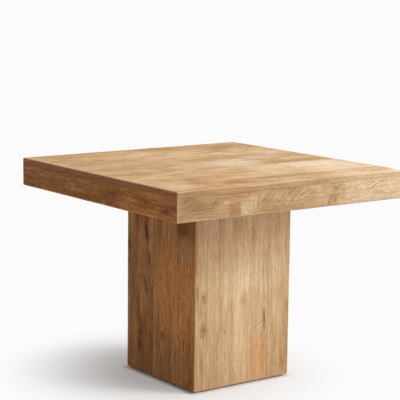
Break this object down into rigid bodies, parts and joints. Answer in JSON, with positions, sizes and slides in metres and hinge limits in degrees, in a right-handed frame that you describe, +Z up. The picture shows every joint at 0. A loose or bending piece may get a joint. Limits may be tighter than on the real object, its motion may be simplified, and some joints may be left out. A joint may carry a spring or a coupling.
{
  "type": "square pedestal dining table",
  "caption": "Square wooden dining table: a thick-edged board top on a hollow square pedestal of upright staves, standing on screw-adjusted levelling feet.",
  "frame": {"origin": "on the floor, under the middle of the table", "axes": "+Z up; +X along the front edge of the top, with the grain of its boards; -Y out of the front"},
  "size_m": [0.965, 0.965, 0.76],
  "materials": {
    "top_wood": "oiled hardwood boards, satin, long streaky grain",
    "edge_wood": "oiled hardwood, satin, figured grain",
    "pedestal_wood": "oiled hardwood staves, satin, upright grain with small knots",
    "inner_wood": "planed hardwood, unfinished",
    "plywood": "plywood, unfinished, layered edges",
    "steel": "zinc-plated steel",
    "glide": "black moulded nylon"
  },
  "bodies": {
    "table": {"top_board_1": "top_wood", "top_board_2": "top_wood", "top_board_3": "top_wood", "top_board_4": "top_wood", "top_board_5": "top_wood", "top_board_6": "top_wood", "top_board_7": "top_wood", "top_board_8": "top_wood", "edge_band_front": "edge_wood", "edge_band_right": "edge_wood", "edge_band_back": "edge_wood", "edge_band_left": "edge_wood", "batten_left": "inner_wood", "batten_right": "inner_wood", "mounting_plate": "plywood", "coach_screw_front_left": "steel", "coach_screw_front_right": "steel", "coach_screw_back_right": "steel", "coach_screw_back_left": "steel", "stave_front_1": "pedestal_wood", "stave_front_2": "pedestal_wood", "stave_front_3": "pedestal_wood", "stave_front_4": "pedestal_wood", "stave_front_5": "pedestal_wood", "stave_front_6": "pedestal_wood", "stave_front_7": "pedestal_wood", "stave_right_1": "pedestal_wood", "stave_right_2": "pedestal_wood", "stave_right_3": "pedestal_wood", "stave_right_4": "pedestal_wood", "stave_right_5": "pedestal_wood", "stave_back_1": "pedestal_wood", "stave_back_2": "pedestal_wood", "stave_back_3": "pedestal_wood", "stave_back_4": "pedestal_wood", "stave_back_5": "pedestal_wood", "stave_back_6": "pedestal_wood", "stave_back_7": "pedestal_wood", "stave_left_1": "pedestal_wood", "stave_left_2": "pedestal_wood", "stave_left_3": "pedestal_wood", "stave_left_4": "pedestal_wood", "stave_left_5": "pedestal_wood", "corner_post_front_left": "inner_wood", "corner_post_front_right": "inner_wood", "corner_post_back_right": "inner_wood", "corner_post_back_left": "inner_wood", "base_board": "plywood", "leveller_nut_front_left": "steel", "leveller_nut_front_right": "steel", "leveller_nut_back_right": "steel", "leveller_nut_back_left": "steel"},
    "pad_front_left": {"leveller_pad_front_left": "glide"},
    "pad_front_right": {"leveller_pad_front_right": "glide"},
    "pad_back_right": {"leveller_pad_back_right": "glide"},
    "pad_back_left": {"leveller_pad_back_left": "glide"},
    "stem_front_left": {"leveller_stem_front_left": "steel"},
    "stem_front_right": {"leveller_stem_front_right": "steel"},
    "stem_back_right": {"leveller_stem_back_right": "steel"},
    "stem_back_left": {"leveller_stem_back_left": "steel"}
  },
  "joints": [
    {"name": "slide_front_left", "type": "slide", "parent": "table", "child": "pad_front_left", "axis": [0, 0, -1], "range_m": [0, 0.0101]},
    {"name": "slide_front_right", "type": "slide", "parent": "table", "child": "pad_front_right", "axis": [0, 0, -1], "range_m": [0, 0.0101]},
    {"name": "slide_back_right", "type": "slide", "parent": "table", "child": "pad_back_right", "axis": [0, 0, -1], "range_m": [0, 0.0101]},
    {"name": "slide_back_left", "type": "slide", "parent": "table", "child": "pad_back_left", "axis": [0, 0, -1], "range_m": [0, 0.0101]},
    {"name": "turn_front_left", "type": "hinge", "parent": "pad_front_left", "child": "stem_front_left", "pos_m": [-0.1632, -0.1632, 0.0083], "axis": [0, 0, -1], "range_deg": [0, 2880]},
    {"name": "turn_front_right", "type": "hinge", "parent": "pad_front_right", "child": "stem_front_right", "pos_m": [0.1632, -0.1632, 0.0083], "axis": [0, 0, -1], "range_deg": [0, 2880]},
    {"name": "turn_back_right", "type": "hinge", "parent": "pad_back_right", "child": "stem_back_right", "pos_m": [0.1632, 0.1632, 0.0083], "axis": [0, 0, -1], "range_deg": [0, 2880]},
    {"name": "turn_back_left", "type": "hinge", "parent": "pad_back_left", "child": "stem_back_left", "pos_m": [-0.1632, 0.1632, 0.0083], "axis": [0, 0, -1], "range_deg": [0, 2880]}
  ],
  "couplings": [
    {"joint": "slide_front_left", "follows": "turn_front_left", "m_per_rad": 0.00019894},
    {"joint": "slide_front_right", "follows": "turn_front_right", "m_per_rad": 0.00019894},
    {"joint": "slide_back_right", "follows": "turn_back_right", "m_per_rad": 0.00019894},
    {"joint": "slide_back_left", "follows": "turn_back_left", "m_per_rad": 0.00019894}
  ]
}
